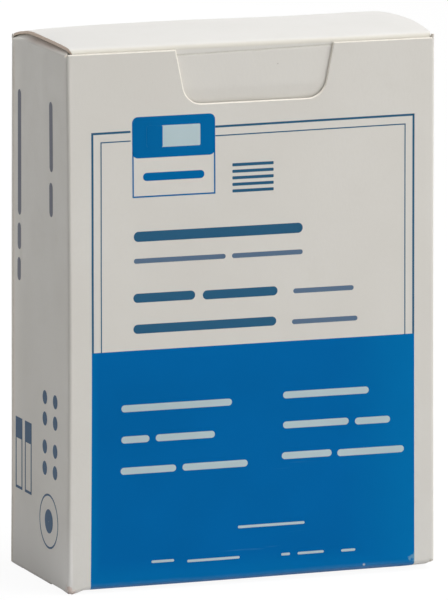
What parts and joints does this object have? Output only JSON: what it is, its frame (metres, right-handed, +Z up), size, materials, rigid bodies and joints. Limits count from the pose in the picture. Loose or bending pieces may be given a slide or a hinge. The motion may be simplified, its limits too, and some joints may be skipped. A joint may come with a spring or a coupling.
{
  "type": "microscope slide box",
  "caption": "Folding carton with a hinged tuck lid and thumb notch, packed with glass microscope slides that stand on end.",
  "frame": {"origin": "middle of the carton's bottom, on the surface it stands on", "axes": "+X to the carton's right, +Y from the front panel to the back panel, +Z up"},
  "size_m": [0.0578, 0.0286, 0.0821],
  "materials": {
    "printed_board": "matt clay-coated folding board with blue print",
    "plain_board": "matt clay-coated folding board, unprinted",
    "slide_glass": "clear polished soda-lime glass with cut edges and one frosted end"
  },
  "bodies": {
    "carton": {"carton": "printed_board", "slide_01": "slide_glass", "slide_02": "slide_glass", "slide_03": "slide_glass", "slide_04": "slide_glass", "slide_05": "slide_glass", "slide_06": "slide_glass", "slide_07": "slide_glass", "slide_08": "slide_glass", "slide_09": "slide_glass", "slide_10": "slide_glass", "slide_11": "slide_glass", "slide_12": "slide_glass", "slide_13": "slide_glass", "slide_14": "slide_glass", "slide_15": "slide_glass", "slide_16": "slide_glass", "slide_17": "slide_glass", "slide_18": "slide_glass", "slide_19": "slide_glass", "slide_20": "slide_glass", "slide_21": "slide_glass", "slide_22": "slide_glass", "slide_23": "slide_glass", "slide_24": "slide_glass", "slide_25": "slide_glass", "slide_26": "slide_glass", "slide_27": "slide_glass", "slide_28": "slide_glass", "slide_29": "slide_glass", "slide_30": "slide_glass", "slide_31": "slide_glass", "slide_32": "slide_glass", "slide_33": "slide_glass", "slide_34": "slide_glass", "slide_35": "slide_glass", "slide_36": "slide_glass", "slide_37": "slide_glass", "slide_38": "slide_glass", "slide_39": "slide_glass", "slide_40": "slide_glass", "slide_41": "slide_glass", "slide_42": "slide_glass", "slide_43": "slide_glass", "slide_44": "slide_glass", "slide_45": "slide_glass", "slide_46": "slide_glass", "slide_47": "slide_glass", "slide_48": "slide_glass", "slide_49": "slide_glass", "slide_50": "slide_glass"},
    "lid": {"lid": "plain_board"},
    "tuck_flap": {"tuck_flap": "plain_board"}
  },
  "joints": [
    {"name": "lid_hinge", "type": "hinge", "parent": "carton", "child": "lid", "pos_m": [0, 0.01378, 0.0799], "axis": [-1, 0, 0], "range_deg": [0, 120]},
    {"name": "tuck_flap_crease", "type": "hinge", "parent": "lid", "child": "tuck_flap", "pos_m": [0, -0.01358, 0.0799], "axis": [-1, 0, 0], "range_deg": [-40, 0]}
  ],
  "couplings": [
    {"joint": "tuck_flap_crease", "follows": "lid_hinge", "ratio": -0.3333}
  ]
}
